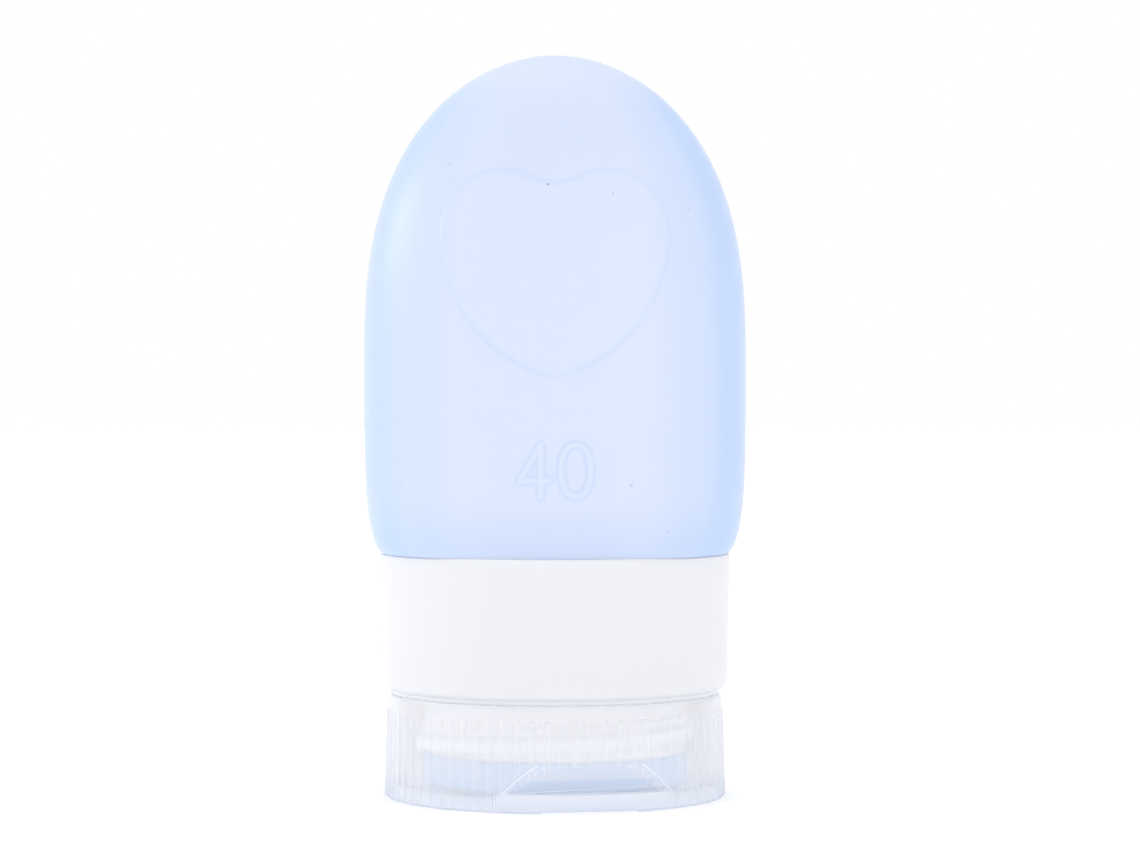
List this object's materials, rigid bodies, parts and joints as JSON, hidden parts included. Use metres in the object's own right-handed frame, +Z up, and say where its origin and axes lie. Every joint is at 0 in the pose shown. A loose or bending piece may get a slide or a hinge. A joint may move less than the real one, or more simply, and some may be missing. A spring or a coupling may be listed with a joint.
{
  "type": "silicone travel bottle",
  "caption": "Small oval silicone squeeze bottle with a raised heart, a white collar and a ribbed translucent flip-top screw cap, standing on its lid.",
  "frame": {"origin": "centre of the closed lid's outer face, which the bottle stands on", "axes": "+Z up along the bottle's axis to the crown of the silicone body, -Y out of the front that carries the heart, +X to the right of that front"},
  "size_m": [0.042, 0.0384, 0.0815],
  "materials": {
    "blue_silicone": "satin, frosted pale blue silicone",
    "white_plastic": "satin white polypropylene",
    "clear_plastic": "translucent natural polypropylene",
    "valve_silicone": "satin blue silicone"
  },
  "bodies": {
    "bottle": {"silicone_body": "blue_silicone", "neck_ring": "white_plastic", "collar": "white_plastic"},
    "valve": {"valve": "valve_silicone"},
    "cap": {"cap_base": "clear_plastic"},
    "lid": {"lid": "clear_plastic"}
  },
  "joints": [
    {"name": "cap_travel", "type": "slide", "parent": "bottle", "child": "valve", "axis": [0, 0, -1], "range_m": [0, 0.0045]},
    {"name": "cap_unscrew", "type": "hinge", "parent": "valve", "child": "cap", "pos_m": [0, 0, 0], "axis": [0, 0, -1], "range_deg": [0, 540]},
    {"name": "lid_hinge", "type": "hinge", "parent": "cap", "child": "lid", "pos_m": [-0.00381, 0.01794, 0.00202], "axis": [0.9781, 0.2079, 0], "range_deg": [0, 150]}
  ],
  "couplings": [
    {"joint": "cap_travel", "follows": "cap_unscrew", "m_per_rad": 0.00047746}
  ]
}
